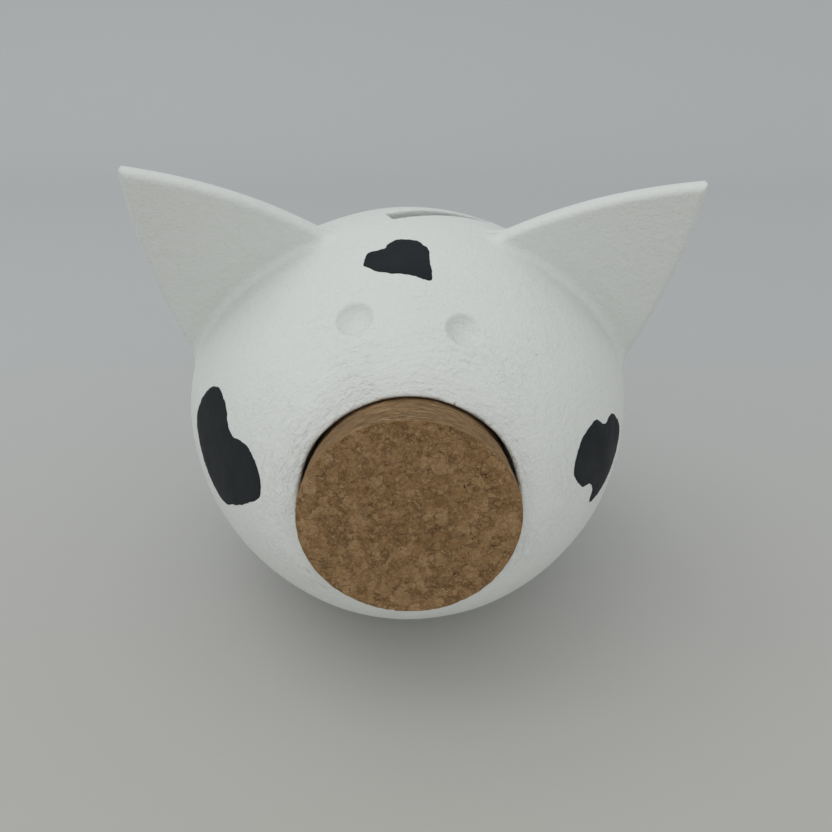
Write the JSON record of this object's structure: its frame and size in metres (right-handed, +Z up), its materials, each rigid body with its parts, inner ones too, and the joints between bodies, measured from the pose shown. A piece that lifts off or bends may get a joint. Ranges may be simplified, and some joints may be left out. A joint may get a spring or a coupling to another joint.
{
  "type": "piggy bank",
  "caption": "Ball-shaped hollow pig money box with two slab ears, a coin slot in its back and a tapered cork stopper as its snout.",
  "frame": {"origin": "on the flat foot, straight under the middle of the ball", "axes": "+Z up, the pig faces -Y, +X is the pig's own left"},
  "size_m": [0.1612, 0.1429, 0.1541],
  "materials": {
    "white_paint": "matt brushed white paint on unglazed cast ceramic",
    "cork": "agglomerated cork, bare",
    "black_paint": "matt black paint film"
  },
  "bodies": {
    "bank": {"body_shell": "white_paint", "ear_left": "white_paint", "ear_right": "white_paint", "paint_spot_forehead": "black_paint", "paint_spot_left_cheek": "black_paint", "paint_spot_right_cheek": "black_paint"},
    "cork": {"cork_stopper": "cork"}
  },
  "joints": [
    {"name": "cork_pull", "type": "slide", "parent": "bank", "child": "cork", "axis": [0, -0.9982, 0.0593], "range_m": [0, 0.05]}
  ]
}
